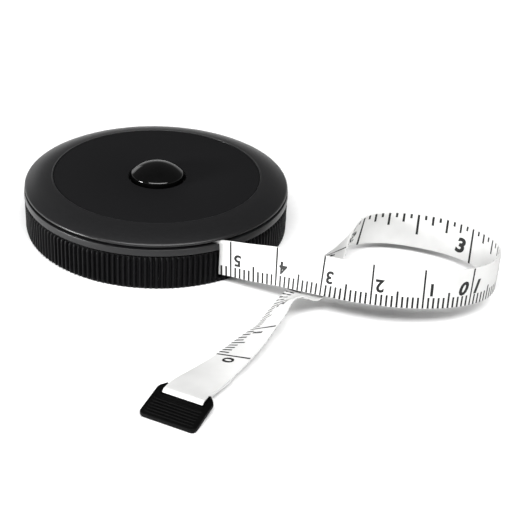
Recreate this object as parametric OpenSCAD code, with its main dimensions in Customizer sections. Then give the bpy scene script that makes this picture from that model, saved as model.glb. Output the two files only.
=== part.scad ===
// Round retractable tape measure: a ribbed case with a domed lid, a sprung reel with
// a push-button brake, and the drawn-out end of the tape with its plastic tab.
// The origin is on the case's axis at its flat underside. +Z points up through the button.
// The tape leaves the case through the slot in its wall.

/* [Case] */
// Outer diameter of the case, at the lip of its smooth band
case_d = 57.2; // [52:0.2:70]
// Thickness of the side wall behind the ribs
wall = 1.5; // [1.2:0.1:2.0]
// Thickness of the floor
floor_t = 1; // [0.8:0.1:2.0]
// Number of grip ribs round the wall
rib_count = 160; // [80:1:200]
// Height of a grip rib above the wall
rib_h = 0.4; // [0.2:0.05:0.6]
// Height of the smooth band above the ribs
band_h = 1.4; // [1.0:0.1:2.0]
// Height of the shadow groove between the band and the lid
groove_h = 0.6; // [0.3:0.05:0.8]

/* [Lid] */
// Thickness of the lid under the face disc
lid_t = 0.65; // [0.6:0.05:1.6]
// Diameter of the face disc
disc_d = 44.4; // [36:0.2:46]
// Thickness of the face disc
disc_t = 0.4; // [0.3:0.05:0.8]
// How far the disc dips from its edge to the button hole
dish = 0.6; // [0:0.05:1.2]
// Upward bulge of the lid's ring between the disc and the rim
ring_bulge = 0.35; // [0.1:0.05:0.6]

/* [Button] */
// Diameter of the push button
button_d = 11.4; // [9:0.2:14]
// Height of the button's dome above its rim
dome_h = 2.2; // [1:0.1:3]
// Height of the button's rim above the face disc
button_rise = 0.85; // [0.5:0.05:1.5]
// Clear gap round the button in its hole
button_gap = 0.55; // [0.2:0.05:0.8]
// Travel of the button
button_travel = 1.2; // [0.8:0.1:1.2]

/* [Tape] */
// Width of the tape
tape_w = 8; // [6:0.1:12]
// Thickness of the tape
tape_t = 0.35; // [0.25:0.01:0.45]
// Whole length of the printed tape
tape_len = 1500; // [1000:50:1550]
// Direction in which the tape leaves the reel, in degrees from +X
exit_heading = -20; // [-26:1:-16]

/* [Reel] */
// Outer radius of the drum that the tape winds on
drum_r = 14.4; // [13:0.1:18]
// Wall thickness of the drum
drum_wall = 1.6; // [1.4:0.1:2.0]
// Clear gap between the reel's flanges and the wall
flange_gap = 4.6; // [3.5:0.1:4.8]
// Thickness of the flanges
flange_t = 0.4; // [0.3:0.05:0.6]

/* [Mechanism] */
// Radius of the post that the reel turns on
post_r = 3.5; // [3:0.1:4]
// Width across the flats of the post's square key
key_w = 3.7; // [3:0.1:4.5]
// Wire diameter of the button's coil spring
coil_wire = 0.4; // [0.3:0.05:0.5]
// Turns of the button's coil spring
coil_turns = 3.5; // [2.5:0.5:4]
// Thickness of the power spring's strip
strip_t = 0.18; // [0.12:0.02:0.3]
// Turns of the power spring
strip_turns = 8; // [5:1:12]
// Radius of the pin that holds the tape's inner end
anchor_r = 0.5; // [0.3:0.05:0.55]

/* [End tab] */
// Width of the tab beyond the tape, on each side
tab_side = 1.5; // [1:0.1:3]
// Length of the tab's plate, from the bar to the front edge
tab_l = 6.7; // [5:0.1:10]
// Thickness of the tab's plate
tab_t = 1; // [0.8:0.1:1.4]
// Number of grip grooves on the tab
groove_count = 6; // [3:1:7]
// Length of the doubled-back tape behind the tab
fold_len = 9; // [6:0.5:10]

/* [Hidden] */
$fn = 96;

// Clearances
side_gap = 0.15;    // between a turning face and the face beside it
top_gap = 0.1;      // above the tape and above the reel
slide_gap = 0.05;   // round a sliding or turning fit
seat_gap = 0.1;     // round a seated disc or skirt
touch = 0.02;       // between faces that only just meet
eps = 0.01;         // overlap of a cut with the face it opens

// Heights, stacked up from the base
reel_z = floor_t + side_gap;
drum_z = reel_z + flange_t + 0.05;
tape_z = drum_z + side_gap;
tape_mid = tape_z + tape_w / 2;
tape_top = tape_z + tape_w;
top_flange_z = tape_top + top_gap;
ceiling_z = top_flange_z + flange_t + top_gap;
disc_low = ceiling_z + lid_t;
face_mid = disc_low + disc_t;
face_edge = face_mid + dish;

// Case outline
case_r = case_d / 2;
rim_r = case_r - 0.2;
rim_z = tape_top + top_gap;
rim_h = 0.4;
rim_chamfer = 0.25;
band_top = rim_z - groove_h;
band_low = band_top - band_h;
band_r = case_r - 0.1;
rib_tip = case_r - 0.1;
rib_root = rib_tip - rib_h;
rib_low = 0.3;
rib_gap = 0.3;
rib_sink = 0.12;    // how far the valleys between ribs run inside the wall's face
base_r = rib_root - 0.15;
bore_r = rib_root - wall;
groove_r = bore_r + 0.8;
disc_r = disc_d / 2;
skirt_r = bore_r - seat_gap;
flange_r = bore_r - flange_gap;
skirt_t = 0.9;
skirt_h = 1.4;
hole_r = button_d / 2 + button_gap;

// Reel and winding: a strip of length L and thickness t wound on radius r reaches
// the radius sqrt(r^2 + L t / pi)
drawn_out = 189;
inner_end = 25;
wound_len = tape_len + inner_end - drawn_out;
winding_r = sqrt(drum_r * drum_r + wound_len * tape_t / PI);
exit_r = winding_r + tape_t / 2 + 0.125;
drum_bore = drum_r - drum_wall;
collar_h = 0.7;
collar_r = post_r + 1.1;

// Slot in the wall, along the tape's line out of the reel
slot_w = 1.2;
slot_start = sqrt(pow(bore_r - 2.5, 2) - exit_r * exit_r);
slot_end = sqrt(pow(case_r + 2, 2) - exit_r * exit_r);
mouth = sqrt(pow(case_r + 0.85, 2) - exit_r * exit_r);
slot_z = tape_z - 0.3;

// Button and brake
lip_t = 0.6;
lip_r = hole_r + 0.7;
flange_hole_r = lip_r + 0.55;
lip_z = ceiling_z - touch * 2 - lip_t;
button_rim = face_mid + button_rise;
button_bore = key_w / 2 * sqrt(2) + 1.6;
pad_in = flange_hole_r + 0.6;
pad_out = pad_in + 2;
pad_t = 0.53;
pad_z = top_flange_z - touch - pad_t;
carrier_t = 0.6;
carrier_z = pad_z - carrier_t;
carrier_r = pad_out + 0.2;
key_top = button_rim - 0.45 - button_travel - 0.05;
button_cave = key_top + button_travel + 0.2;
shoulder_z = tape_mid - 0.65;
coil_r = key_w / 2 * sqrt(2) + coil_wire / 2 + 0.09;
spigot_r = 1.8;
spigot_z = floor_t - 0.55;

// Power spring and its cover
power_z = drum_z + collar_h + 0.2;
cover_t = 0.2;
cover_z = carrier_z - button_travel - cover_t - 0.2;
power_top = cover_z - 0.1;
power_in = post_r + 0.4;
power_out = drum_bore - 0.4;
locator_h = 0.6;
locator_t = 0.75;

// The tape's free part and the tab are drawn for a slot mouth at mouth_spot, and shift
// with it
mouth_spot = [14.45, -25.66, 5.75];
shift = [reel_line(mouth)[0], reel_line(mouth)[1], tape_mid] - mouth_spot;

// Tab: place of its top face over the bar, its direction and its slope
tab_w = tape_w + 2 * tab_side;
tab_spot = [4.67, -66.77, 2.05];
tab_at = tab_spot + [shift[0], shift[1], 0];
tab_heading = 240.9;
tab_tilt = 9.5;
ear_l = 2.6;
window_w = tape_w + 0.3;
bar_x = -0.6;
bar_z = -tab_t / 2;
bar_r = 0.5;
wrap_r = bar_r + touch + tape_t / 2;
wrap_from = 105.5;
wrap_to = -118;

// Route of the tape's middle line from the reel to the tab: x, y, z and the lean of
// the tape from standing on edge (0) to lying flat with its face up (90). The free
// part moves with the slot's mouth. A wider tape stands higher by as much as it stands
// on edge.
free_route = [
    [18.61, -27.75, 6.2, 8], [23.17, -30.02, 6.8, 14], [27.42, -32.57, 7.4, 18],
    [31.77, -35.14, 7.9, 20], [36.34, -37.51, 8.2, 20], [41.21, -39.48, 8.5, 18],
    [46.08, -40.95, 8.7, 15], [51.15, -41.51, 8.7, 11], [56.21, -41.29, 8.6, 7],
    [60.8, -39.79, 8.3, 4], [64.74, -37.07, 7.8, 2], [67.57, -33.23, 7.3, 0],
    [68.73, -28.53, 6.7, -2], [67.87, -23.76, 6.2, -4], [65.55, -19.48, 5.8, -4],
    [62.25, -16.11, 5.6, -4], [57.88, -13.65, 5.5, -3], [53.13, -12.18, 5.5, 1],
    [48.17, -11.82, 5.6, 6], [43.42, -13.14, 5.6, 14], [39.16, -17.03, 5.18, 32.3],
    [36.05, -21.83, 4.52, 51.86], [33.65, -26.81, 3.79, 69.21], [31.16, -31.4, 3.15, 81.42],
    [28.51, -34.95, 2.92, 80.01], [25.78, -37.34, 3.45, 55.52], [23.42, -40.37, 3.18, 46.9],
    [21.58, -44.21, 2.98, 50.61], [18.76, -47.69, 2.15, 61.39], [15.84, -51.72, 1.76, 70.02],
    [12.6, -55.98, 1.53, 77.27], [9.92, -59.43, 1.65, 83.99], [7.84, -62.02, 1.87, 87.68],
    [5.97, -64.41, 2.14, 90], [5.03, -66.11, 2.35, 90]
];
route = concat(
    [for (d = [0, mouth / 3, 2 * mouth / 3, mouth - 2.4])
        [reel_line(d)[0], reel_line(d)[1], tape_mid, 0]],
    [[reel_line(mouth)[0], reel_line(mouth)[1], tape_mid + 0.1, 2]],
    [for (p = free_route) [p[0] + shift[0], p[1] + shift[1], p[2] + shift[2] * cos(p[3]), p[3]]]
);
route_steps = 2;

// Point on the tape's straight line out of the reel, at a distance from where it
// leaves the winding
function reel_line(d) =
    let (h = exit_heading)
    [exit_r * sin(h) + d * cos(h), -exit_r * cos(h) + d * sin(h)];

// Catmull-Rom point between the second and third of four values
function blend4(a, b, c, d, t) =
    0.5 * (2 * b + (c - a) * t + (2 * a - 5 * b + 4 * c - d) * t * t
    + (3 * b - a - 3 * c + d) * t * t * t);

function pick(list, i) = list[max(0, min(len(list) - 1, i))];

function smooth(list, steps) = [
    for (i = [0:len(list) - 2], k = [0:steps - 1])
        blend4(pick(list, i - 1), list[i], list[i + 1], pick(list, i + 2), k / steps),
    list[len(list) - 1]
];

function unit(v) = v / norm(v);
function xyz(p) = [p[0], p[1], p[2]];

// Direction of a route at one of its points
function along(list, i) = unit(xyz(pick(list, i + 1)) - xyz(pick(list, i - 1)));

// Direction across the tape, from its lower edge to its upper one
function across(list, i) =
    let (d = along(list, i), left = unit([-d[1], d[0], 0]), a = list[i][3],
         w = [left[0] * sin(a), left[1] * sin(a), cos(a)])
    unit(w - (w * d) * d);

// Four corners of the tape's section, moved off its middle line by drop
function strip_ring(list, i, w, t, drop) =
    let (a = across(list, i), n = cross(along(list, i), a), m = xyz(list[i]) - drop * n)
    [m + a * w / 2 + n * t / 2, m + a * w / 2 - n * t / 2,
     m - a * w / 2 - n * t / 2, m - a * w / 2 + n * t / 2];

// A closed solid through rings of equal size
module skin(rings) {
    n = len(rings[0]);
    last = len(rings) - 1;
    points = [for (r = rings, p = r) p];
    sides = [for (i = [0:last - 1], k = [0:n - 1], half = [0, 1])
        let (a = i * n + k, b = i * n + (k + 1) % n)
        half == 0 ? [a, b, b + n] : [a, b + n, a + n]];
    caps = [[for (k = [n - 1:-1:0]) k], [for (k = [0:n - 1]) last * n + k]];
    polyhedron(points, concat(sides, caps));
}

module ring(inner, outer, z, h) {
    translate([0, 0, z])
        difference() {
            cylinder(r = outer, h = h);
            translate([0, 0, -eps]) cylinder(r = inner, h = h + 2 * eps);
        }
}

// Points of an arc between two points that bulges to its left by sag
function arc(p, q, sag, steps) =
    let (m = (p + q) / 2, half = norm(q - p) / 2, r = (half * half + sag * sag) / (2 * sag),
         side = unit([p[1] - q[1], q[0] - p[0]]), c = m - side * (r - sag),
         a0 = atan2(p[1] - c[1], p[0] - c[0]), turn = -2 * asin(half / r))
    [for (i = [0:steps]) c + r * [cos(a0 + turn * i / steps), sin(a0 + turn * i / steps)]];

// The slot, from its floor up to the height top
module slot_cut(top) {
    start = reel_line(slot_start);
    translate([start[0], start[1], slot_z])
        rotate([0, 0, exit_heading])
            translate([0, -slot_w / 2, 0])
                cube([slot_end - slot_start, slot_w, top - slot_z]);
}

module rib_ring() {
    step = 360 / rib_count;
    translate([0, 0, rib_low + 0.05])
        linear_extrude(height = band_low - rib_gap - rib_low - 0.05)
            difference() {
                polygon([for (i = [0:rib_count - 1], k = [0, 1])
                    let (r = k == 0 ? rib_root - rib_sink : rib_tip, a = (i + k / 2) * step)
                    [r * cos(a), r * sin(a)]]);
                circle(r = rib_root - wall / 2);
            }
}

module bottom_cover() {
    color("#1c1c1d")
    difference() {
        union() {
            rotate_extrude()
                polygon([
                    [0, 0], [base_r, 0], [rib_root, rib_low],
                    [rib_root, band_low - 0.15], [case_r, band_low], [case_r, band_low + 0.2],
                    [band_r, band_top], [groove_r, band_top], [groove_r, rim_z],
                    [bore_r, rim_z], [bore_r, floor_t], [0, floor_t]
                ]);
            rib_ring();
        }
        slot_cut(rim_z + 1);
        translate([0, 0, spigot_z]) cylinder(r = spigot_r + touch, h = floor_t);
    }
}

module top_cover() {
    ring_top = [disc_r + seat_gap, face_edge];
    ring_low = [rim_r, rim_z + rim_h];
    slope = dish / (disc_r + seat_gap - hole_r);
    color("#2a2a2b")
    difference() {
        rotate_extrude()
            polygon(concat(
                [[hole_r, ceiling_z], [disc_r, ceiling_z + slope * (disc_r - hole_r)],
                 [skirt_r - skirt_t, rim_z + 0.25], [skirt_r - skirt_t, rim_z - skirt_h],
                 [skirt_r, rim_z - skirt_h], [skirt_r, rim_z],
                 [rim_r - rim_chamfer, rim_z], [rim_r, rim_z + rim_chamfer / 2]],
                [for (p = [len(arc(ring_top, ring_low, ring_bulge, 10)) - 1:-1:0])
                    arc(ring_top, ring_low, ring_bulge, 10)[p]],
                [[disc_r + seat_gap, disc_low + dish], [hole_r, disc_low]]
            ));
        slot_cut(rim_z + 0.1);
    }
}

module face_disc() {
    slope = dish / (disc_r + seat_gap - hole_r);
    low = disc_low + touch;
    color("#1f1f20")
    rotate_extrude()
        polygon([
            [hole_r, low], [disc_r, low + slope * (disc_r - hole_r)],
            [disc_r, face_mid + slope * (disc_r - hole_r)], [hole_r, face_mid]
        ]);
}

module centre_post() {
    color("#d8d8d4")
    difference() {
        union() {
            translate([0, 0, spigot_z + touch])
                cylinder(r = spigot_r, h = floor_t - spigot_z);
            translate([0, 0, floor_t]) cylinder(r = post_r, h = shoulder_z - floor_t);
            translate([-key_w / 2, -key_w / 2, shoulder_z - eps])
                cube([key_w, key_w, key_top - shoulder_z]);
        }
        // slit for the inner end of the power spring
        translate([1.9, -0.25, power_z - 0.1]) cube([post_r, 0.5, shoulder_z]);
    }
}

module button() {
    cap_r = button_d / 2;
    sphere_r = (cap_r * cap_r + dome_h * dome_h) / (2 * dome_h);
    edge = asin(cap_r / sphere_r);
    steps = 12;
    dome = [for (i = [0:steps])
        let (a = edge * (1 - i / steps))
        [sphere_r * sin(a), button_rim + dome_h - sphere_r * (1 - cos(a))]];
    color("#0e0e0f")
    rotate_extrude()
        polygon(concat(
            [[button_bore, lip_z], [lip_r, lip_z], [lip_r, lip_z + lip_t], [cap_r, lip_z + lip_t]],
            dome, [[0, button_cave], [button_bore, button_cave]]
        ));
}

module brake_carrier() {
    hub_r = lip_r - 0.3;
    hole_w = key_w + 2 * slide_gap;
    color("#8d8f92")
    difference() {
        union() {
            translate([0, 0, carrier_z]) cylinder(r = carrier_r, h = carrier_t);
            ring(button_bore, hub_r, carrier_z + carrier_t - eps, lip_z - carrier_z - carrier_t + eps);
        }
        translate([-hole_w / 2, -hole_w / 2, carrier_z - 1]) cube([hole_w, hole_w, 4]);
    }
}

module brake_pad() {
    color("#3a302c") ring(pad_in, pad_out, pad_z, pad_t);
}

module brake_spring() {
    wire_r = coil_wire / 2;
    low = shoulder_z + wire_r + touch;
    high = carrier_z - wire_r - touch;
    steps = 14;
    count = floor(coil_turns * steps);
    color("#b9bcc0")
    skin([for (i = [0:count])
        let (a = 360 * i / steps, z = low + (high - low) * i / count,
             out = [cos(a), sin(a), 0], up = [0, 0, 1])
        [for (k = [0:5]) out * coil_r + up * z + wire_r * (out * cos(60 * k) - up * sin(60 * k))]]);
}

module reel_drum() {
    anchor_at = drum_r - drum_wall / 2;
    color("#e6e4de")
    difference() {
        union() {
            ring(post_r + slide_gap, flange_r, reel_z, drum_z - reel_z);
            ring(post_r + slide_gap, collar_r, reel_z, drum_z - reel_z + collar_h);
            ring(drum_bore, drum_r, reel_z + eps, top_flange_z - reel_z - eps);
        }
        translate([anchor_at, 0, drum_z]) cylinder(r = anchor_r + touch, h = tape_w + 1, $fn = 32);
        translate([anchor_at, -tape_t, drum_z]) cube([drum_wall, 2 * tape_t, tape_w + 1]);
    }
}

module reel_flange() {
    color("#e6e4de")
    union() {
        ring(flange_hole_r, flange_r, top_flange_z, flange_t);
        ring(drum_bore - touch - locator_t, drum_bore - touch,
             top_flange_z - locator_h, locator_h + eps);
    }
}

module power_spring() {
    steps = 24;
    count = strip_turns * steps;
    function spiral(i, off) =
        let (a = 360 * i / steps, r = power_in + (power_out - power_in) * i / count + off)
        [r * cos(a), r * sin(a)];
    color("#7d8287")
    translate([0, 0, power_z])
        linear_extrude(height = power_top - power_z)
            polygon(concat(
                [for (i = [0:count]) spiral(i, 0)],
                [for (i = [count:-1:0]) spiral(i, strip_t)]
            ));
}

module spring_cover() {
    color("#c9c6bd") ring(post_r + 0.7, drum_bore - touch, cover_z, cover_t);
}

module tape_winding() {
    color("#f4f4f2") ring(drum_r + touch, winding_r, tape_z, tape_w);
}

module tape_anchor_pin() {
    color("#c0c0bc")
    translate([drum_r - drum_wall / 2, 0, drum_z + touch])
        cylinder(r = anchor_r, h = tape_w, $fn = 32);
}

module tape_strip() {
    path = smooth(route, route_steps);
    color("#f6f6f5")
    skin([for (i = [0:len(path) - 1]) strip_ring(path, i, tape_w, tape_t, 0)]);
}

// Tape wrapped over the tab's bar and doubled back under itself
module tape_fold() {
    path = smooth(route, route_steps);
    count = floor(fold_len / 1.9);
    turns = 14;
    last = len(path) - 1;
    f = [cos(tab_heading) * cos(tab_tilt), sin(tab_heading) * cos(tab_tilt), -sin(tab_tilt)];
    u = [cos(tab_heading) * sin(tab_tilt), sin(tab_heading) * sin(tab_tilt), cos(tab_tilt)];
    a = [-sin(tab_heading), cos(tab_heading), 0];
    mid = tab_at + bar_x * f + bar_z * u;
    wrap = [for (i = [0:turns])
        let (g = wrap_from + (wrap_to - wrap_from) * i / turns, out = f * cos(g) + u * sin(g),
             m = mid + wrap_r * out)
        [m + a * tape_w / 2 + out * tape_t / 2, m + a * tape_w / 2 - out * tape_t / 2,
         m - a * tape_w / 2 - out * tape_t / 2, m - a * tape_w / 2 + out * tape_t / 2]];
    tail = [for (i = [2:count])
        let (s = strip_ring(path, last - i, tape_w, tape_t, tape_t + touch))
        [s[1], s[0], s[3], s[2]]];
    color("#f6f6f5") skin(concat(wrap, tail));
}

module end_tab() {
    front = tab_l + bar_x;
    corner = 0.9;
    ear = 2.1;
    color("#161616")
    translate(tab_at) rotate([0, 0, tab_heading]) rotate([0, tab_tilt, 0])
    union() {
        difference() {
            translate([0, 0, -tab_t])
                linear_extrude(height = tab_t)
                    union() {
                        translate([-ear_l + ear, -tab_w / 2])
                            square([front + ear_l - ear - corner, tab_w]);
                        translate([0, -tab_w / 2 + corner])
                            square([front, tab_w - 2 * corner]);
                        translate([-ear_l, -tab_w / 2 + ear])
                            square([ear_l, tab_w - 2 * ear]);
                        for (side = [-1, 1]) {
                            translate([front - corner, side * (tab_w / 2 - corner)])
                                circle(r = corner, $fn = 32);
                            translate([-ear_l + ear, side * (tab_w / 2 - ear)])
                                circle(r = ear, $fn = 32);
                        }
                    }
            translate([-ear_l - 1, -window_w / 2, -tab_t - 1])
                cube([ear_l + 1.4, window_w, tab_t + 2]);
            for (i = [0:groove_count - 1])
                translate([1.5 + i * (front - 2.3) / (groove_count - 1), -tab_w / 2 + 0.7, -0.12])
                    cube([0.25, tab_w - 1.4, 1]);
        }
        translate([bar_x, window_w / 2 + 0.5, bar_z])
            rotate([90, 0, 0]) cylinder(r = bar_r, h = window_w + 1, $fn = 32);
    }
}

bottom_cover();
top_cover();
face_disc();
centre_post();
button();
brake_carrier();
brake_pad();
brake_spring();
reel_drum();
reel_flange();
power_spring();
spring_cover();
tape_winding();
tape_anchor_pin();
tape_strip();
tape_fold();
end_tab();
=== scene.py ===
import math

import bmesh
import bpy
import numpy as np
from mathutils import Matrix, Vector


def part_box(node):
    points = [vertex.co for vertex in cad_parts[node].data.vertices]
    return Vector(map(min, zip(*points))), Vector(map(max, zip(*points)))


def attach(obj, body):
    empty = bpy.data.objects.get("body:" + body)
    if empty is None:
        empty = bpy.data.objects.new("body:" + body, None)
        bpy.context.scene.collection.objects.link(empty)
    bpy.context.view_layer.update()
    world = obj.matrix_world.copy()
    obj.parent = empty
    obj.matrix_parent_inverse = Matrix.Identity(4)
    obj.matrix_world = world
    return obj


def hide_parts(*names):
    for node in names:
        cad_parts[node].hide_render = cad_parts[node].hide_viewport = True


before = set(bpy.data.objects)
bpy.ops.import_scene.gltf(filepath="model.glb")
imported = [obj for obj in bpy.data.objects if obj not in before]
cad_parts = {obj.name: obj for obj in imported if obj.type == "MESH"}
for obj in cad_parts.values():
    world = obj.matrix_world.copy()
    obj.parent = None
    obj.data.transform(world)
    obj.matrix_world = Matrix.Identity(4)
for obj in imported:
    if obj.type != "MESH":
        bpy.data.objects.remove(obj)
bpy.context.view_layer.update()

MM = 0.001
TURN = 2 * math.pi


# ---------------------------------------------------------------- sizes

def node_box(name):
    """Lowest and highest corner of a CAD node, in millimetres."""
    low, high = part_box(name)
    return np.array(low) / MM, np.array(high) / MM


BOTTOM_HIGH = node_box("bottom_cover")[1]
LID_HIGH = node_box("top_cover")[1]
DISC_LOW, DISC_HIGH = node_box("face_disc")
BUTTON_LOW, BUTTON_HIGH = node_box("button")
WINDING_LOW, WINDING_HIGH = node_box("tape_winding")

CASE_R = BOTTOM_HIGH[0]             # radius of the case at the band's lip
RIM_R = LID_HIGH[0]                 # radius at the lid's rim
RIM_Z = BOTTOM_HIGH[2]              # height where the lid sits on the bottom cover
FACE_EDGE = LID_HIGH[2]             # height of the lid's ring beside the disc
DISC_R = DISC_HIGH[0]
DISC_GAP = 0.1                      # between the disc and the lid's ring
TAPE_Z = WINDING_LOW[2]
TAPE_W = WINDING_HIGH[2] - WINDING_LOW[2]
TAPE_T = 0.35
WINDING_R = WINDING_HIGH[0]

FLOOR_T = 1.0
WALL = 1.5
UNDERCUT_H = 0.38                   # undercut between the ribs and the smooth band
UNDERCUT_IN = 0.3
BAND_LOW = RIM_Z - 2.0              # lip under the smooth band
BAND_TOP = RIM_Z - 0.6              # top of the smooth band, at the shadow groove
RIB_TIP = CASE_R - 0.1
RIB_H = 0.4
RIB_ROOT = RIB_TIP - RIB_H
RIB_COUNT = 160
RIB_STEPS = 10                      # points of the wall's outline to each rib
VALLEY = 0.3                        # depth of the ribs' valleys inside the wall's face
BORE_R = RIB_ROOT - WALL
GROOVE_R = BORE_R + 0.8
DISH = 0.6                          # how far the lid's middle lies below its ring
HOLE_R = 6.25                       # hole in the lid for the button
DISC_SLOPE = DISH / (DISC_R + DISC_GAP - HOLE_R)
BUTTON_R = 5.7
BUTTON_DOME = 2.2                   # height of the button's dome over its straight side
BUTTON_RIM = BUTTON_HIGH[2] - BUTTON_DOME
BUTTON_LIP_T = 0.6
BUTTON_BORE = 4.2
SLOT_W = 1.2
SLOT_Z = TAPE_Z - 0.3               # the slot's floor
EXIT_HEADING = math.radians(-20)
EXIT_R = WINDING_R + TAPE_T / 2 + 0.125

# Middle line of the tape from the reel to the tab, in millimetres, with its lean from
# standing on edge (0) to lying with its centimetre face up (90). The first stretch is
# the straight run inside the case.
INNER_RUN = (0, 7.45, 14.9, 19.95)
MOUTH = 22.354                      # where the run meets the slot's mouth
ROUTE_FROM_SLOT = [
    (18.61, -27.75, 6.2, 8), (23.17, -30.02, 6.8, 14), (27.42, -32.57, 7.4, 18),
    (31.77, -35.14, 7.9, 20), (36.34, -37.51, 8.2, 20), (41.21, -39.48, 8.5, 18),
    (46.08, -40.95, 8.7, 15), (51.15, -41.51, 8.7, 11), (56.21, -41.29, 8.6, 7),
    (60.8, -39.79, 8.3, 4), (64.74, -37.07, 7.8, 2), (67.57, -33.23, 7.3, 0),
    (68.73, -28.53, 6.7, -2), (67.87, -23.76, 6.2, -4), (65.55, -19.48, 5.8, -4),
    (62.25, -16.11, 5.6, -4), (57.88, -13.65, 5.5, -3), (53.13, -12.18, 5.5, 1),
    (48.17, -11.82, 5.6, 6), (43.42, -13.14, 5.6, 14), (39.16, -17.03, 5.18, 32.3),
    (36.05, -21.83, 4.52, 51.86), (33.65, -26.81, 3.79, 69.21), (31.16, -31.4, 3.15, 81.42),
    (28.51, -34.95, 2.92, 80.01), (25.78, -37.34, 3.45, 55.52), (23.42, -40.37, 3.18, 46.9),
    (21.58, -44.21, 2.98, 50.61), (18.76, -47.69, 2.15, 61.39), (15.84, -51.72, 1.76, 70.02),
    (12.6, -55.98, 1.53, 77.27), (9.92, -59.43, 1.65, 83.99), (7.84, -62.02, 1.87, 87.68),
    (5.97, -64.41, 2.14, 90), (5.03, -66.11, 2.35, 90),
]
ZERO_POINT = (13.69, -53.73)          # the route's point at the printed zero

# The tab's frame: the top of its plate over the bar, its heading and its slope
TAB_AT = np.array((4.67, -66.77, 2.05))
TAB_HEADING = math.radians(240.9)
TAB_TILT = math.radians(9.5)
TAB_W = 11.0
TAB_FRONT = 6.1                     # the plate's far edge, ahead of the bar
TAB_T = 1.0
TAB_SUNK = 0.1                      # the plate's top lies this far below the frame's plane
EAR_IN = 4.15                       # the ears' inner faces, either side of the tape
BAR_X, BAR_Z, BAR_R = -0.6, -0.5, 0.5
RIDGE_COUNT, RIDGE_GAP, RIDGE_FIRST = 6, 0.68, 1.75
FOLD_GAP = 0.02                     # between the fold and the tape or the bar


# ---------------------------------------------------------------- mesh tools

def mesh_piece(name, points, faces, material, body, smooth=True, uv=None):
    """A finished object at the origin from points in millimetres and lists of faces.
    Doubles are merged and the normals turned outwards."""
    mesh = bpy.data.meshes.new(name)
    mesh.from_pydata((np.asarray(points) * MM).tolist(), [], [list(f) for f in faces])
    mesh.materials.append(material)
    if uv is not None:
        layer = mesh.uv_layers.new(name="UVMap")
        index = np.empty(len(mesh.loops), dtype=np.int32)
        mesh.loops.foreach_get("vertex_index", index)
        layer.data.foreach_set("uv", np.asarray(uv, dtype=np.float32)[index].ravel())
    work = bmesh.new()
    work.from_mesh(mesh)
    bmesh.ops.remove_doubles(work, verts=work.verts, dist=2e-7)
    bmesh.ops.dissolve_degenerate(work, edges=work.edges, dist=1e-7)
    bmesh.ops.recalc_face_normals(work, faces=work.faces)
    work.to_mesh(mesh)
    work.free()
    mesh.polygons.foreach_set("use_smooth", [smooth] * len(mesh.polygons))
    piece = bpy.data.objects.new(name, mesh)
    bpy.context.scene.collection.objects.link(piece)
    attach(piece, body)
    return piece


def sharpen(piece, degrees=40):
    """Marks the edges sharper than an angle, so that smooth shading stops there."""
    work = bmesh.new()
    work.from_mesh(piece.data)
    for edge in work.edges:
        edge.smooth = edge.calc_face_angle(0.0) < math.radians(degrees)
    work.to_mesh(piece.data)
    work.free()
    return piece


def grid_faces(rows, columns, wrap_rows=False, wrap_columns=False, start=0):
    """Quads over a grid of points stored row by row, closed round where it wraps."""
    r = np.arange(rows if wrap_rows else rows - 1)
    c = np.arange(columns if wrap_columns else columns - 1)
    r, c = (a.ravel() for a in np.meshgrid(r, c, indexing="ij"))
    r1, c1 = (r + 1) % rows, (c + 1) % columns
    quads = np.stack([r * columns + c, r * columns + c1, r1 * columns + c1, r1 * columns + c], 1)
    return (quads + start).tolist()


def rounded(corners, steps=5):
    """A closed outline through corners (x, y, radius), each radius an arc that is
    tangent to both sides: centre at r / sin(half the corner's angle) along its bisector."""
    out = []
    n = len(corners)
    for i in range(n):
        p = np.array(corners[i][:2], float)
        a = np.array(corners[i - 1][:2], float) - p
        b = np.array(corners[(i + 1) % n][:2], float) - p
        radius = corners[i][2]
        la, lb = np.linalg.norm(a), np.linalg.norm(b)
        if radius <= 0 or la == 0 or lb == 0:
            out.append(p)
            continue
        a, b = a / la, b / lb
        half = math.acos(max(-1.0, min(1.0, float(a @ b)))) / 2
        reach = min(radius / math.tan(half), 0.49 * la, 0.49 * lb)
        radius = reach * math.tan(half)
        centre = p + (a + b) / np.linalg.norm(a + b) * radius / math.sin(half)
        start, end = p + a * reach - centre, p + b * reach - centre
        t0 = math.atan2(start[1], start[0])
        turn = (math.atan2(end[1], end[0]) - t0 + math.pi) % TURN - math.pi
        t = t0 + turn * np.linspace(0, 1, steps + 1)
        out.extend(centre + radius * np.stack([np.cos(t), np.sin(t)], 1))
    return np.array(out)


def arc_between(p, q, bulge, steps):
    """Points of the circular arc from p to q whose middle stands bulge to its left."""
    p, q = np.array(p, float), np.array(q, float)
    chord = q - p
    half = np.linalg.norm(chord) / 2
    radius = (half**2 + bulge**2) / (2 * bulge)
    left = np.array((-chord[1], chord[0])) / (2 * half)
    centre = (p + q) / 2 - left * (radius - bulge)
    t0 = math.atan2(*(p - centre)[::-1])
    t = t0 - 2 * math.asin(half / radius) * np.linspace(0, 1, steps + 1)
    return centre + radius * np.stack([np.cos(t), np.sin(t)], 1)


def revolve(name, outline, segments, material, body, part=None):
    """A closed outline (radius, height) turned about Z; with part = (from, to) in
    radians it is a length of that ring, with its two ends capped."""
    outline = np.asarray(outline, float)
    whole = part is None
    if whole:
        t = np.arange(segments) / segments * TURN
    else:
        t = np.linspace(part[0], part[1], segments)
    r, z = outline[:, 0], outline[:, 1]
    points = np.stack([np.outer(np.cos(t), r), np.outer(np.sin(t), r),
                       np.broadcast_to(z, (len(t), len(z)))], -1).reshape(-1, 3)
    faces = grid_faces(len(t), len(r), wrap_rows=whole, wrap_columns=True)
    if not whole:
        faces.append(list(range(len(r))))
        faces.append(list(range(len(points) - len(r), len(points)))[::-1])
    return sharpen(mesh_piece(name, points, faces, material, body))


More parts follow.
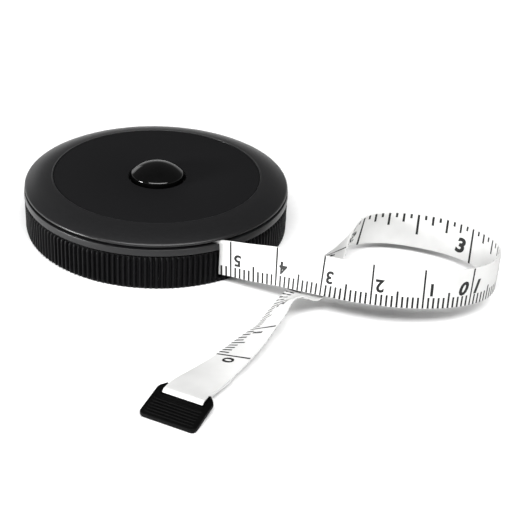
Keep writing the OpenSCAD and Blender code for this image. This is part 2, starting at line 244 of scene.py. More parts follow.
# ---------------------------------------------------------------- the tape's run

def natural_spline(t, values, at):
    """Cubic spline through values at the places t, with no bend at its two ends. Its
    second derivatives m solve h m0 + 2 (h + k) m1 + k m2 = 6 (slope after - slope before)."""
    n = len(t)
    h = np.diff(t)
    slope = np.diff(values, axis=0) / h[:, None]
    system = np.eye(n)
    right = np.zeros_like(values)
    for i in range(1, n - 1):
        system[i, i - 1:i + 2] = h[i - 1], 2 * (h[i - 1] + h[i]), h[i]
        right[i] = 6 * (slope[i] - slope[i - 1])
    m = np.linalg.solve(system, right)
    k = np.clip(np.searchsorted(t, at) - 1, 0, n - 2)
    u, w, hk = (t[k + 1] - at)[:, None], (at - t[k])[:, None], h[k][:, None]
    return ((m[k] * u**3 + m[k + 1] * w**3) / (6 * hk)
            + (values[k] / hk - m[k] * hk / 6) * u + (values[k + 1] / hk - m[k + 1] * hk / 6) * w)


def unit(v):
    return v / np.linalg.norm(v, axis=-1, keepdims=True)


def distance_along(points):
    """Distance from the first point to each of the others along the line they make."""
    return np.concatenate([[0], np.cumsum(np.linalg.norm(np.diff(points, axis=0), axis=1))])


def reel_line(distance):
    """Point on the tape's straight line out of the reel."""
    s, c = math.sin(EXIT_HEADING), math.cos(EXIT_HEADING)
    return EXIT_R * s + distance * c, -EXIT_R * c + distance * s


class Run:
    """The tape's run sampled finely: its middle line, the direction across it from the
    lower to the upper edge, and the normal of its centimetre face. Places on it are
    distances from the printed zero towards the case."""

    def __init__(self, step=0.25):
        middle = TAPE_Z + TAPE_W / 2
        inside = [(*reel_line(d), middle, 0) for d in INNER_RUN]
        slot = [(*reel_line(MOUTH), middle + 0.1, 2)]
        route = np.array(inside + slot + ROUTE_FROM_SLOT, float)
        knots = distance_along(route[:, :3])
        fine = np.linspace(0, knots[-1], int(knots[-1] / step) + 1)
        line = natural_spline(knots, route, fine)
        line[fine < knots[len(INNER_RUN) - 1], 2] = middle
        self.p = line[:, :3]
        lean = np.radians(line[:, 3])[:, None]
        d = unit(np.gradient(self.p, axis=0))
        left = unit(np.stack([-d[:, 1], d[:, 0], np.zeros(len(d))], 1))
        across = left * np.sin(lean) + np.array((0, 0, 1)) * np.cos(lean)
        self.a = unit(across - d * np.sum(across * d, 1, keepdims=True))
        self.n = np.cross(d, self.a)
        gone = distance_along(self.p)
        zero = np.argmin(np.linalg.norm(self.p[:, :2] - np.array(ZERO_POINT), axis=1))
        self.s = gone[zero] - gone
        self.length = gone[-1]

    def at(self, s, across, lift):
        """Points at distances s, heights across the tape, and lifts off its middle."""
        s = np.asarray(s, float)
        order = slice(None, None, -1)

        def along(values):
            return np.stack([np.interp(s, self.s[order], values[order, k]) for k in range(3)], -1)

        return (along(self.p) + unit(along(self.a)) * np.asarray(across)[..., None]
                + unit(along(self.n)) * np.asarray(lift)[..., None])


RUN = Run()
S_START, S_END = RUN.s[0], RUN.s[-1]


# ---------------------------------------------------------------- materials

def srgb(code):
    """Linear colour of an sRGB hex code such as "1f1f20"."""
    parts = [int(code[i:i + 2], 16) / 255 for i in (0, 2, 4)]
    return (*[p / 12.92 if p <= 0.04045 else ((p + 0.055) / 1.055) ** 2.4 for p in parts], 1.0)


def add(material, kind, settings=None, links=None):
    """Adds a shader node, sets its properties and sockets, and links named sockets to
    other nodes' outputs, each given as (node, output)."""
    node = material.node_tree.nodes.new(kind)
    for key, value in (settings or {}).items():
        if isinstance(key, str) and hasattr(node, key):
            setattr(node, key, value)
        else:
            node.inputs[key].default_value = value
    for key, (source, output) in (links or {}).items():
        material.node_tree.links.new(source.outputs[output], node.inputs[key])
    return node


def surface(name, settings):
    """A new material with one Principled shader, and that shader."""
    material = bpy.data.materials.new(name)
    material.use_nodes = True
    shader = material.node_tree.nodes["Principled BSDF"]
    for key, value in settings.items():
        shader.inputs[key].default_value = value
    return material, shader


def tint(material, shader, source, low, high, span=(0.35, 0.65)):
    """Colours a shader between two hex codes by a texture's value."""
    ramp = add(material, "ShaderNodeValToRGB", links={"Fac": source})
    for element, code, place in zip(ramp.color_ramp.elements, (low, high), span):
        element.position, element.color = place, srgb(code)
    material.node_tree.links.new(ramp.outputs["Color"], shader.inputs["Base Color"])


def emboss(material, shader, source, height_mm, strength=1.0):
    """Bumps a shader's normal by a texture's value over a height in millimetres."""
    bump = add(material, "ShaderNodeBump", {"Distance": height_mm * MM, "Strength": strength},
               {"Height": source})
    material.node_tree.links.new(bump.outputs["Normal"], shader.inputs["Normal"])


def grain(material, size_mm, detail=3.0, roughness=0.6):
    """Noise of a real grain size, on the object's own coordinates."""
    place = add(material, "ShaderNodeTexCoord")
    return add(material, "ShaderNodeTexNoise",
               {"Scale": 1 / (size_mm * MM), "Detail": detail, "Roughness": roughness},
               {"Vector": (place, "Object")})


def vary_roughness(material, shader, source, low, high):
    """Spreads a shader's roughness between two values by a texture's value."""
    spread = add(material, "ShaderNodeMapRange",
                 {"From Min": 0.3, "From Max": 0.7, "To Min": low, "To Max": high},
                 {"Value": source})
    material.node_tree.links.new(spread.outputs["Result"], shader.inputs["Roughness"])


def abs_satin():
    """Injection-moulded black ABS from a lightly blasted mould: a soft satin gloss."""
    material, shader = surface("abs_moulded_satin", {"IOR": 1.53, "Specular IOR Level": 0.32})
    mould = grain(material, 0.35)
    tint(material, shader, (mould, "Fac"), "151516", "19191a")
    vary_roughness(material, shader, (mould, "Fac"), 0.30, 0.38)
    emboss(material, shader, (mould, "Fac"), 0.004)
    return material


def abs_ribbed():
    """The same black ABS on the grip ribs, a little duller; its darker colour is painted shade
    among the ribs.
    """
    material, shader = surface("abs_moulded_ribs_painted_shade", {"IOR": 1.53, "Specular IOR Level": 0.05})
    mould = grain(material, 0.5)
    # colours darker than the satin ABS: painted shade for the shade in the ribs' valleys
    tint(material, shader, (mould, "Fac"), "0c0c0d", "111112")
    vary_roughness(material, shader, (mould, "Fac"), 0.36, 0.46)
    emboss(material, shader, (mould, "Fac"), 0.005)
    return material


def abs_matt():
    """Black ABS from a spark-eroded mould: an even matt face with no reflections."""
    material, shader = surface("abs_spark_eroded_matt", {"IOR": 1.5, "Specular IOR Level": 0.06})
    pits = grain(material, 0.18, detail=2)
    tint(material, shader, (pits, "Fac"), "131314", "171718")
    vary_roughness(material, shader, (pits, "Fac"), 0.75, 0.85)
    emboss(material, shader, (pits, "Fac"), 0.004)
    return material


def abs_polished():
    """Black ABS from a polished mould: a deep gloss with faint finger wear."""
    material, shader = surface("abs_polished", {"IOR": 1.53, "Specular IOR Level": 0.36})
    wear = grain(material, 2.5)
    tint(material, shader, (wear, "Fac"), "030303", "050505")
    vary_roughness(material, shader, (wear, "Fac"), 0.07, 0.13)
    return material


def polypropylene_black():
    """Moulded black polypropylene of the end tab: waxy and dull."""
    material, shader = surface("polypropylene_black", {"IOR": 1.49, "Specular IOR Level": 0.06})
    mould = grain(material, 0.3)
    tint(material, shader, (mould, "Fac"), "040404", "070707")
    vary_roughness(material, shader, (mould, "Fac"), 0.42, 0.55)
    emboss(material, shader, (mould, "Fac"), 0.006)
    return material


THREAD = 0.5    # spacing of the glass threads, drawn a little coarse so that it shows


def tape_coated():
    """White PVC coating over woven glass fibre: smooth, with the weave just felt
    through the coat."""
    material, shader = surface("tape_pvc_coated_glass_fibre",
                               {"IOR": 1.52, "Specular IOR Level": 0.35, "Roughness": 0.42})
    place = add(material, "ShaderNodeTexCoord")
    threads = [add(material, "ShaderNodeTexWave",
                   {"wave_type": "BANDS", "bands_direction": direction, "wave_profile": "SIN",
                    "Scale": 0.314 / (THREAD * MM), "Distortion": 0.3, "Detail": 1.0},
                   {"Vector": (place, "UV")}) for direction in ("X", "Y")]
    weave = add(material, "ShaderNodeMath", {"operation": "MULTIPLY"},
                {0: (threads[0], "Fac"), 1: (threads[1], "Fac")})
    emboss(material, shader, (weave, "Value"), 0.004, 0.5)
    coat = grain(material, 6.0, detail=2)
    tint(material, shader, (coat, "Fac"), "cbcbca", "d1d1d0")
    return material


def tape_ink():
    """Black screen-printing ink on the tape: thin, even, slightly glossier than dull."""
    material, shader = surface("screen_ink_black", {"IOR": 1.5, "Specular IOR Level": 0.3})
    screen = grain(material, 0.12)
    tint(material, shader, (screen, "Fac"), "0c0c0c", "1a1a1a")
    vary_roughness(material, shader, (screen, "Fac"), 0.4, 0.5)
    return material


def moulded_plain(name, low, high, rough, grain_mm=0.6):
    """Plain moulded plastic of the pieces inside the case, in its natural colour."""
    material, shader = surface(name, {"IOR": 1.48})
    mould = grain(material, grain_mm)
    tint(material, shader, (mould, "Fac"), low, high)
    vary_roughness(material, shader, (mould, "Fac"), rough - 0.05, rough + 0.05)
    emboss(material, shader, (mould, "Fac"), 0.005)
    return material


def steel(name, low, high, rough):
    """Drawn or rolled spring steel, with fine lines left by the rolls."""
    material, shader = surface(name, {"Metallic": 1.0})
    place = add(material, "ShaderNodeTexCoord")
    stretch = add(material, "ShaderNodeMapping", {"Scale": (1.0, 1.0, 12.0)},
                  {"Vector": (place, "Object")})
    lines = add(material, "ShaderNodeTexNoise", {"Scale": 1 / (0.8 * MM), "Detail": 2.0},
                {"Vector": (stretch, "Vector")})
    tint(material, shader, (lines, "Fac"), low, high)
    vary_roughness(material, shader, (lines, "Fac"), rough - 0.06, rough + 0.08)
    return material


def floor_paper():
    """Matt white photographer's paper under the object."""
    material, shader = surface("paper_backdrop_matt", {"Roughness": 0.9, "Specular IOR Level": 0.1})
    fibre = grain(material, 1.5, detail=2)
    tint(material, shader, (fibre, "Fac"), "f9f9f9", "fbfbfb")
    return material


ABS_SATIN, ABS_RIBBED_PAINTED_SHADE, ABS_MATT = abs_satin(), abs_ribbed(), abs_matt()
ABS_POLISHED, TAB_BLACK = abs_polished(), polypropylene_black()
TAPE_WHITE, INK = tape_coated(), tape_ink()


# ---------------------------------------------------------------- camera and light

CAMERA_AT = (0, -0.233946, 0.129088)
CAMERA_ANGLES = (5.4846, 30.368, 3.217)    # degrees to the right, downwards and of roll


def placed(columns, place):
    """World matrix of an object from its three axes and its place."""
    rows = [[*(axis[i] for axis in columns), place[i]] for i in range(3)]
    return Matrix(rows + [[0, 0, 0, 1]])


def make_camera():
    """A camera above the near side of the case, turned a little to the right."""
    yaw, pitch, roll = (math.radians(a) for a in CAMERA_ANGLES)
    level = math.cos(pitch)
    ahead = np.array((math.sin(yaw) * level, math.cos(yaw) * level, -math.sin(pitch)))
    side = np.array((math.cos(yaw), -math.sin(yaw), 0))
    rise = np.cross(side, ahead)
    right = side * math.cos(roll) + rise * math.sin(roll)
    up = rise * math.cos(roll) - side * math.sin(roll)
    data = bpy.data.cameras.new("camera")
    data.sensor_width = 36
    data.lens = 84.375
    data.clip_start, data.clip_end = 0.01, 10
    camera = bpy.data.objects.new("camera", data)
    camera.matrix_world = placed((right, up, -ahead), CAMERA_AT)
    bpy.context.scene.collection.objects.link(camera)
    bpy.context.scene.camera = camera


def make_light(name, size, place, target, energy):
    """A rectangular soft box, width and height in metres, aimed at a point."""
    data = bpy.data.lights.new(name, "AREA")
    data.shape, data.size, data.size_y = "RECTANGLE", size[0], size[1]
    data.energy = energy
    light = bpy.data.objects.new(name, data)
    back = unit(np.array(place, float) - np.array(target, float))
    side = unit(np.cross((0, 1, 0) if abs(back[2]) > 0.99 else (0, 0, 1), back))
    up = np.cross(back, side)
    light.matrix_world = placed((side, up, back), place)
    bpy.context.scene.collection.objects.link(light)


def make_stage():
    """The paper floor, the world and the lights."""
    reach = 3.0
    corners = [(-reach, -reach, 0), (reach, -reach, 0), (reach, reach, 0), (-reach, reach, 0)]
    mesh = bpy.data.meshes.new("floor")
    mesh.from_pydata(corners, [], [(0, 1, 2, 3)])
    mesh.materials.append(floor_paper())
    floor = bpy.data.objects.new("floor", mesh)
    bpy.context.scene.collection.objects.link(floor)
    make_world()
    make_light("key_box", (1.30, 0.46), (0.05, -0.60, 0.98), (0.03, 0.08, 0), 21.0)
    make_light("left_box", (0.25, 0.20), (-0.85, -0.30, 0.12), (0.0, 0.0, 0), 12.0)
    make_light("window_box", (0.30, 0.22), (-0.48, 0.85, 0.24), (0.0, 0.0, 0), 0.20)
    bpy.context.scene.view_settings.view_transform = "Standard"


def make_world():
    """A studio round the table: bright near the horizon and dim overhead."""
    world = bpy.data.worlds.new("studio")
    world.use_nodes = True
    place = add(world, "ShaderNodeTexCoord")
    height = add(world, "ShaderNodeSeparateXYZ", links={"Vector": (place, "Generated")})
    ramp = add(world, "ShaderNodeValToRGB", links={"Fac": (height, "Z")})
    for element, grey, at in zip(ramp.color_ramp.elements, (0.85, 0.12), (0.04, 0.30)):
        element.position, element.color = at, (grey, grey, grey, 1.0)
    background = world.node_tree.nodes["Background"]
    world.node_tree.links.new(ramp.outputs["Color"], background.inputs["Color"])
    bpy.context.scene.world = world


# ---------------------------------------------------------------- the drawn-out tape

def strip_section(width, thick, steps=4):
    """Outline of the tape's section, (across, lift): a flat bar with rounded edges."""
    r = thick / 2 * 0.9
    w, t = width / 2, thick / 2
    outline = rounded([(-w, -t, r), (w, -t, r), (w, t, r), (-w, t, r)], steps)
    flat = np.linspace(-w + 1, w - 1, 5)
    upper = np.stack([flat[::-1], np.full(5, t)], 1)
    lower = np.stack([flat, np.full(5, -t)], 1)
    q = steps + 1
    return np.concatenate([outline[:q], lower, outline[q:3 * q], upper, outline[3 * q:]])


def capped_tube(rings, size):
    """Faces over rings of size points each, stored ring by ring, closed at both ends."""
    faces = grid_faces(rings, size, wrap_columns=True)
    faces.append(list(range(size)))
    faces.append(list(range((rings - 1) * size, rings * size))[::-1])
    return faces


def make_strip():
    """The tape's section carried along its run, closed at both ends."""
    section = strip_section(TAPE_W, TAPE_T)
    s = np.linspace(S_START, S_END, int(RUN.length / 0.6))
    grid_s = np.repeat(s[:, None], len(section), 1)
    across = np.broadcast_to(section[:, 0], grid_s.shape)
    lift = np.broadcast_to(section[:, 1], grid_s.shape)
    points = RUN.at(grid_s, across, lift).reshape(-1, 3)
    faces = capped_tube(len(s), len(section))
    uv = np.stack([grid_s.ravel(), across.ravel()], 1) * MM
    piece = mesh_piece("tape_free_end", points, faces, TAPE_WHITE, "tape", uv=uv)
    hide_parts("tape_strip")
    return sharpen(piece, 50)


def tab_axes():
    """Forward, left and up of the tab's frame."""
    h, t = TAB_HEADING, TAB_TILT
    forward = np.array((math.cos(h) * math.cos(t), math.sin(h) * math.cos(t), -math.sin(t)))
    left = np.array((-math.sin(h), math.cos(h), 0))
    return forward, left, np.cross(forward, left)


def from_tab(points):
    """Points given in the tab's frame, in the object's frame."""
    return TAB_AT + np.asarray(points) @ np.stack(tab_axes())


def make_fold():
    """The tape's end wrapped over the bar and doubled back under the tape: an arc about
    the bar, then the tape's own run shifted down by its thickness."""
    tail_from, tail_to = 3.4, 9.0
    section = strip_section(TAPE_W, TAPE_T)
    forward, left, up = tab_axes()
    middle = from_tab((BAR_X, 0, BAR_Z))
    turn = np.radians(np.linspace(105.5, -118, 40))[:, None]
    out = forward * np.cos(turn) + up * np.sin(turn)
    wrap_r = BAR_R + FOLD_GAP + TAPE_T / 2
    wrap = ((middle + out * wrap_r)[:, None] + section[None, :, :1] * left
            + section[None, :, 1:] * out[:, None])
    s = np.linspace(S_END + tail_from, S_END + tail_to, 20)
    drop = TAPE_T + FOLD_GAP
    tail_across = np.broadcast_to(section[:, 0], (len(s), len(section)))
    tail = RUN.at(np.repeat(s[:, None], len(section), 1), tail_across,
                  np.broadcast_to(-section[:, 1] - drop, tail_across.shape))
    points = np.concatenate([wrap, tail]).reshape(-1, 3)
    rings = len(wrap) + len(tail)
    faces = capped_tube(rings, len(section))
    gone = np.repeat(np.arange(rings) * 0.3, len(section))
    uv = np.stack([gone, np.tile(section[:, 0], rings)], 1) * MM
    piece = mesh_piece("tape_end_fold", points, faces, TAPE_WHITE, "tape", uv=uv)
    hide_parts("tape_fold")
    return sharpen(piece, 50)


def make_tab():
    """The tab: a plate with rounded edges, its outline shrinking through a quarter
    circle at top and bottom, two ears behind, a round bar between them, and ridges."""
    half, ear, edge = TAB_W / 2, EAR_IN, 0.2
    outline = rounded([
        (TAB_FRONT, -half, 0.9), (TAB_FRONT, half, 0.9), (-1.2, half, 1.5), (-2.5, ear + 0.1, 0.22),
        (-2.3, ear, 0.2), (0.4, ear, 0.35), (0.4, -ear, 0.35), (-2.3, -ear, 0.2),
        (-2.5, -ear - 0.1, 0.22), (-1.2, -half, 1.5)], 6)
    ahead, behind = np.roll(outline, -1, 0), np.roll(outline, 1, 0)
    side = unit(ahead - behind)
    inward = np.stack([-side[:, 1], side[:, 0]], 1)
    turn = np.radians(np.linspace(90, 0, 5))
    levels = [(edge * (1 - math.cos(a)), -TAB_SUNK - edge * (1 - math.sin(a))) for a in turn]
    levels = levels + [(i, -TAB_T - TAB_SUNK - z) for i, z in levels[::-1]]
    rings = [np.column_stack([outline + inward * i, np.full(len(outline), z)]) for i, z in levels]
    faces = capped_tube(len(rings), len(outline))
    points = np.concatenate(rings)

    def bar(x, z, radius, high, reach, steps=16):
        """A bar along the tab's width: an ellipse whose size falls off round its ends."""
        y = np.sin(np.linspace(-math.pi / 2, math.pi / 2, 15))
        size = np.sqrt(np.clip(1 - np.abs(y) ** 12, 0, 1))
        t = np.arange(steps) / steps * TURN
        grid = np.stack([x + np.outer(size, radius * np.cos(t)),
                         np.repeat((y * reach)[:, None], steps, 1),
                         z + np.outer(size, high * np.sin(t))], -1)
        return grid.reshape(-1, 3), grid_faces(15, steps, wrap_columns=True)

    bars = [(BAR_X, BAR_Z, BAR_R, BAR_R, ear + 0.5)]
    bars += [(RIDGE_FIRST + i * RIDGE_GAP, -TAB_SUNK - 0.03, 0.24, 0.13, half - 0.75)
             for i in range(RIDGE_COUNT)]
    for spec in bars:
        more, quads = bar(*spec)
        faces += [[k + len(points) for k in quad] for quad in quads]
        points = np.concatenate([points, more])
    piece = mesh_piece("tab_moulding", from_tab(points), faces, TAB_BLACK, "tape")
    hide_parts("end_tab")
    return sharpen(piece, 45)


# ---------------------------------------------------------------- printing

INK_LIFT = TAPE_T / 2 + 0.012
LINE_L = TAPE_W - 0.06              # a line right across the tape
INCH = 25.4
GLYPHS = {}


def glyph(text, height, slant, weight):
    """Points and faces of a numeral about its own middle, sliced finely along its
    width so that it bends with the tape. Its height is the given one."""
    key = (text, height, slant, weight)
    if key not in GLYPHS:
        curve = bpy.data.curves.new("numeral", "FONT")
        curve.body, curve.shear, curve.offset = text, slant, weight
        curve.resolution_u = 3
        holder = bpy.data.objects.new("numeral", curve)
        bpy.context.scene.collection.objects.link(holder)
        mesh = bpy.data.meshes.new_from_object(holder)
        work = bmesh.new()
        work.from_mesh(mesh)
        bpy.data.objects.remove(holder)
        bpy.data.curves.remove(curve)
        bpy.data.meshes.remove(mesh)
        bmesh.ops.remove_doubles(work, verts=work.verts, dist=1e-5)
        xs, ys = [v.co.x for v in work.verts], [v.co.y for v in work.verts]
        size = height / (max(ys) - min(ys))
        middle = (min(xs) + max(xs)) / 2, (min(ys) + max(ys)) / 2
        for v in work.verts:
            v.co = ((v.co.x - middle[0]) * size, (v.co.y - middle[1]) * size, 0)
        reach = (max(xs) - min(xs)) * size / 2
        for cut in np.arange(-reach + 0.3, reach, 0.3):
            bmesh.ops.bisect_plane(work, geom=work.verts[:] + work.edges[:] + work.faces[:],
                                   plane_co=(cut, 0, 0), plane_no=(1, 0, 0))
        work.verts.index_update()
        points = np.array([v.co[:2] for v in work.verts])
        faces = [[v.index for v in f.verts] for f in work.faces]
        work.free()
        GLYPHS[key] = points, faces
    return GLYPHS[key]


class Print:
    """Printing on one face of the tape. Side is 1 for the centimetre face, whose ticks
    start at the lower edge, and -1 for the inch face, whose ticks start at the upper one."""

    def __init__(self, side):
        self.side, self.points, self.faces = side, [], []

    def put(self, s, across, faces):
        """Adds flat points, given along and across the tape, just over its face."""
        start = sum(len(p) for p in self.points)
        lift = np.full(len(s), self.side * INK_LIFT)
        self.points.append(RUN.at(s, across, lift))
        self.faces += [[k + start for k in f] for f in faces]

    def tick(self, s, length, width):
        """A mark from the edge, cut across so that it bends with the tape."""
        edge = -self.side * TAPE_W / 2
        inner = edge + self.side * length
        edge += self.side * 0.06
        rows = np.linspace(edge, inner, max(2, int(length / 1.2) + 1))
        grid_s = np.stack([np.full(len(rows), s - width / 2), np.full(len(rows), s + width / 2)], 1)
        self.put(grid_s.ravel(), np.repeat(rows, 2), grid_faces(len(rows), 2))

    def numeral(self, text, s, from_edge, height, slant=0.0, weight=0.0):
        """A number whose middle is at s and from_edge away from the ticks' edge."""
        points, faces = glyph(text, height, slant, weight)
        across = -self.side * (TAPE_W / 2 - from_edge) - self.side * points[:, 1]
        self.put(s + points[:, 0], across, faces)

    def piece(self, name):
        """The finished print, with every face turned away from the tape."""
        made = bpy.data.meshes.new(name)
        made.from_pydata((np.concatenate(self.points) * MM).tolist(), [], self.faces)
        made.materials.append(INK)
        made.update()
        work = bmesh.new()
        work.from_mesh(made)
        for face in work.faces:
            middle = face.calc_center_median()
            k = np.argmin(np.linalg.norm(RUN.p * MM - np.array(middle), axis=1))
            if np.dot(face.normal, RUN.n[k]) * self.side < 0:
                face.normal_flip()
        work.to_mesh(made)
        work.free()
        piece = bpy.data.objects.new(name, made)
        bpy.context.scene.collection.objects.link(piece)
        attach(piece, "tape")
        return piece


def print_centimetres():
    """Millimetre ticks, longer fives, a line across at each centimetre with its last
    digit before it, and the tens bigger, slanted and split by their line."""
    scale = Print(1)
    for mm in range(0, int(S_START) + 1):
        if mm % 10 == 0:
            scale.tick(mm, LINE_L, 0.36)
        else:
            scale.tick(mm, 3.3 if mm % 5 == 0 else 2.3, 0.40)
    for cm in range(0, int(S_START // 10) + 1):
        if cm == 10:
            scale.numeral("1", cm * 10 - 1.35, 3.9, 3.0, 0.25, 0.045)
            scale.numeral("0", cm * 10 + 1.9, 3.9, 3.0, 0.25, 0.045)
        else:
            scale.numeral(str(cm % 10), cm * 10 - 1.5, 3.9, 2.6, 0.0, 0.03)
    return scale.piece("scale_centimetre")


def print_inches():
    """Sixteenth, eighth, quarter and half ticks of rising length and a line across at
    each inch, with bold slanted numerals before it."""
    scale = Print(-1)
    lengths = {0: LINE_L, 8: 4.8, 4: 3.1, 12: 3.1}
    for k in range(0, int(S_START / INCH * 16) + 1):
        length = lengths.get(k % 16, 2.1 if k % 2 == 0 else 1.1)
        scale.tick(k * INCH / 16, length, 0.50)
    for n in range(1, int(S_START / INCH) + 1):
        scale.numeral(str(n), n * INCH - 2.7, 4.75, 3.6, 0.2, 0.045)
    return scale.piece("scale_inch")


# ---------------------------------------------------------------- the case

def bottom_outline():
    """Radius and height round the bottom cover's wall and floor, cut finely along the
    ribs, with how far each point takes part in the ribs (0 to 1)."""
    ribs_top = BAND_LOW - UNDERCUT_H - 0.04
    inset_r = RIB_ROOT - UNDERCUT_IN
    outer = rounded([
        (0, 0, 0), (RIB_ROOT - 0.12, 0, 0.12), (RIB_ROOT, 0.3, 0.1),
        (RIB_ROOT, ribs_top, 0.05), (inset_r, BAND_LOW - UNDERCUT_H, 0.05),
        (inset_r, BAND_LOW - 0.06, 0.05), (CASE_R, BAND_LOW, 0.12),
        (CASE_R - 0.1, BAND_TOP, 0.15), (GROOVE_R, BAND_TOP, 0.08), (GROOVE_R, RIM_Z, 0),
        (BORE_R, RIM_Z, 0), (BORE_R, FLOOR_T, 0.3), (0, FLOOR_T, 0)], 4)
    rows = []
    for a, b in zip(outer, np.roll(outer, -1, 0)):
        on_ribs = abs(a[0] - RIB_ROOT) < 0.1 and np.linalg.norm(b - a) > 3
        steps = 12 if on_ribs else 1
        rows += [a + (b - a) * k / steps for k in range(steps)]
    r, z = np.array(rows).T
    at_groove = (np.abs(r - GROOVE_R) < 0.2) & (z > BAND_TOP - 0.1)
    outside = np.arange(len(r)) < np.argmax(at_groove)
    rise = np.clip((z - 0.1) / 0.35, 0, 1) * np.clip((ribs_top - z) / 0.2, 0, 1)
    return r, z, np.where(outside, rise * rise * (3 - 2 * rise), 0)


def slot_side(offset, radius):
    """Angle at which a line beside the tape's straight run crosses a radius."""
    return EXIT_HEADING - math.pi / 2 + np.arccos(np.clip(offset / radius, -1, 1))


def make_bottom():
    """The bottom cover: its outline turned about Z, with ribs raised on its wall by a
    clipped cosine, cut down to the slot's floor between the slot's two sides. The
    columns of points near the slot lean over to follow its sides."""
    r, z, rib = bottom_outline()
    offsets = EXIT_R + SLOT_W / 2, EXIT_R - SLOT_W / 2
    outer_at = [slot_side(o, RIB_TIP) for o in offsets]
    full = np.linspace(outer_at[1], outer_at[0] + TURN, RIB_COUNT * RIB_STEPS)
    cut = np.linspace(outer_at[0], outer_at[1], 9)
    angle = np.concatenate([full, cut])
    clipped = np.arange(len(angle)) >= len(full)
    second_half = np.arange(len(angle)) > len(full) // 2
    first_half = np.arange(len(angle)) < len(full) // 2
    reach = math.radians(14)
    share = [np.clip(1 - np.abs((angle - o + math.pi) % TURN - math.pi) / reach, 0, 1)
             for o in outer_at]
    between = np.clip((angle - outer_at[0]) / (outer_at[1] - outer_at[0]), 0, 1)
    share[0] = np.where(clipped, 1 - between, share[0] * second_half)
    share[1] = np.where(clipped, between, share[1] * first_half)
    in_wall = np.where(r > BORE_R - 0.01, np.clip((z - FLOOR_T) / (SLOT_Z - FLOOR_T), 0, 1), 0)
    radius = np.clip(r, BORE_R, RIB_TIP)
    shift = sum(np.outer(share[k], (slot_side(offsets[k], radius) - outer_at[k]) * in_wall)
                for k in (0, 1))
    theta = angle[:, None] + shift
    height = np.where(clipped[:, None] & (z > SLOT_Z)[None], SLOT_Z, z[None])
    ridge = np.clip(0.5 + 0.9 * np.cos(RIB_COUNT * theta), 0, 1)
    keep = 1 - clipped[:, None] * (z > SLOT_Z - 0.4)[None]
    big = r[None] + (ridge * (RIB_H + VALLEY) - VALLEY) * rib[None] * keep
    points = np.stack([big * np.cos(theta), big * np.sin(theta), height], -1).reshape(-1, 3)
    faces = grid_faces(len(angle), len(r), wrap_rows=True, wrap_columns=True)
    piece = mesh_piece("case_bottom", points, faces, ABS_RIBBED_PAINTED_SHADE, "case")
    # faces below the band's lip keep the ribbed material, whose darker colour is painted shade for
    # the ribs; the band and above take the satin
    piece.data.materials.append(ABS_SATIN)
    for face in piece.data.polygons:
        if face.center[2] > (BAND_LOW - 0.03) * MM:
            face.material_index = 1
    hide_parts("bottom_cover")
    return sharpen(piece, 55)


def make_lid():
    """The lid: its outline turned about Z, with a convex ring between the recess for
    the disc and the rim. Its skirt is a separate ring, open at the tape's slot."""
    recess = DISC_LOW[2] - 0.02
    under = recess - 0.65
    ring_r = DISC_R + DISC_GAP
    rise = DISC_SLOPE * (ring_r - HOLE_R)
    crown = arc_between((ring_r + 0.1, FACE_EDGE), (RIM_R, RIM_Z + 0.42), 0.36, 60)
    crown = crown[(crown[:, 0] > ring_r + 0.36) & (crown[:, 0] < RIM_R - 0.42)]
    fall = (crown[-1] - crown[-2]) / (crown[-1, 0] - crown[-2, 0])
    shoulder = crown[-1] + fall * (RIM_R - crown[-1, 0])
    low = np.array((RIM_R, RIM_Z + 0.12))
    t = np.linspace(0, 1, 9)[1:, None]
    rim = (1 - t)**2 * crown[-1] + 2 * t * (1 - t) * shoulder + t**2 * low
    corner = [(RIM_R - 0.03, RIM_Z + 0.05), (RIM_R - 0.12, RIM_Z + 0.01), (RIM_R - 0.25, RIM_Z)]
    bead = [(ring_r + x, FACE_EDGE + z) for x, z in (
        (0, -0.1), (0.02, -0.01), (0.07, 0.04), (0.15, 0.06), (0.23, 0.035), (0.30, 0.0))]
    outline = [(HOLE_R + 0.1, recess), (ring_r, recess + rise), *bead, *crown, *rim, *corner,
               (BORE_R - 0.1, RIM_Z), (BORE_R - 1.0, RIM_Z + 0.25),
               (DISC_R, under + rise), (HOLE_R, under), (HOLE_R, recess - 0.1)]
    lid = revolve("case_lid", outline, 288, ABS_SATIN, "case")
    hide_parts("top_cover")
    skirt_r = BORE_R - 0.1
    slot_at = EXIT_HEADING - math.pi / 2 + math.acos(EXIT_R / (skirt_r - 0.45))
    gap = math.radians(4.6)
    outline = rounded([
        (skirt_r - 0.9, RIM_Z + 0.2, 0), (skirt_r - 0.9, RIM_Z - 1.4, 0.2),
        (skirt_r, RIM_Z - 1.4, 0.2), (skirt_r, RIM_Z + 0.02, 0)])
    skirt = revolve("lid_skirt", outline, 220, ABS_SATIN, "case",
                    (slot_at + gap, slot_at - gap + TURN))


def make_disc():
    """The matt disc in the lid: a thin dished ring with softened edges."""
    rise = DISC_SLOPE * (DISC_R - HOLE_R)
    low, thick = DISC_LOW[2], DISC_HIGH[2] - DISC_LOW[2] - rise
    outline = rounded([(HOLE_R, low, 0.05), (DISC_R, low + rise, 0.05),
                       (DISC_R, low + rise + thick, 0.1), (HOLE_R, low + thick, 0.12)], 4)
    disc = revolve("lid_disc", outline, 288, ABS_MATT, "case")
    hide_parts("face_disc")


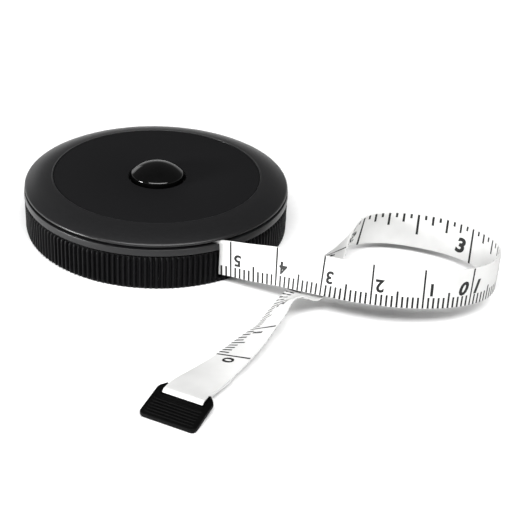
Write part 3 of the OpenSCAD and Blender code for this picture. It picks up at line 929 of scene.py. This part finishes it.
def make_button():
    """The push button: a lip under the lid, a stem and a dome that is an arc about a
    point on the axis, with a rounded edge."""
    lip, lip_r = BUTTON_LOW[2], BUTTON_HIGH[0] - 0.02
    cave = BUTTON_RIM - 0.3
    reach, dome_h = BUTTON_R - 0.1, BUTTON_DOME - 0.05
    ball = (reach**2 + dome_h**2) / (2 * dome_h)
    turn = math.asin(reach / ball) * (1 - np.linspace(0, 1, 24))
    dome = np.stack([ball * np.sin(turn), BUTTON_HIGH[2] - ball + ball * np.cos(turn)], 1)
    dome = dome[dome[:, 0] < BUTTON_R - 0.28]
    corner = np.array((BUTTON_R, BUTTON_RIM + 0.02))
    low = np.array((BUTTON_R, BUTTON_RIM - 0.25))
    t = np.linspace(0, 1, 8)[:-1, None]
    edge = (1 - t)**2 * low + 2 * t * (1 - t) * corner + t**2 * dome[0]
    outline = [(BUTTON_BORE, lip), (lip_r, lip), (lip_r, lip + BUTTON_LIP_T),
               (BUTTON_R, lip + BUTTON_LIP_T), *edge, *dome, (0, cave), (BUTTON_BORE, cave)]
    button = revolve("button_cap", outline, 160, ABS_POLISHED, "push_button")
    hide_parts("button")


def finish_inner_pieces():
    """Materials for the CAD pieces inside the case, which keep their own shapes."""
    white = moulded_plain("polypropylene_natural", "dcdad2", "e6e4dd", 0.45)
    acetal = moulded_plain("acetal_natural", "d6d6d0", "e0e0da", 0.35)
    grey = moulded_plain("acetal_grey", "86888b", "939598", 0.4)
    rubber = moulded_plain("rubber_moulded", "2c2522", "3a322e", 0.8, 0.2)
    card = moulded_plain("polyester_sheet", "c2bfb4", "cfccc2", 0.3, 1.5)
    wire = steel("steel_spring_wire", "a4a7ab", "bfc2c6", 0.28)
    strip = steel("steel_blued_strip", "5d6268", "7b8086", 0.35)
    finishes = {
        "reel_drum": white, "reel_flange": white, "tape_winding": TAPE_WHITE,
        "centre_post": acetal, "tape_anchor_pin": acetal, "brake_carrier": grey,
        "brake_pad": rubber, "spring_cover": card, "brake_spring": wire, "power_spring": strip}
    for name, material in finishes.items():
        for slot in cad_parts[name].material_slots:
            slot.material = material


# ---------------------------------------------------------------- assembly

make_camera()
tape = make_strip()
fold = make_fold()
tab = make_tab()
prints = [print_centimetres(), print_inches()]
make_bottom()
make_lid()
make_disc()
make_button()
finish_inner_pieces()
make_stage()
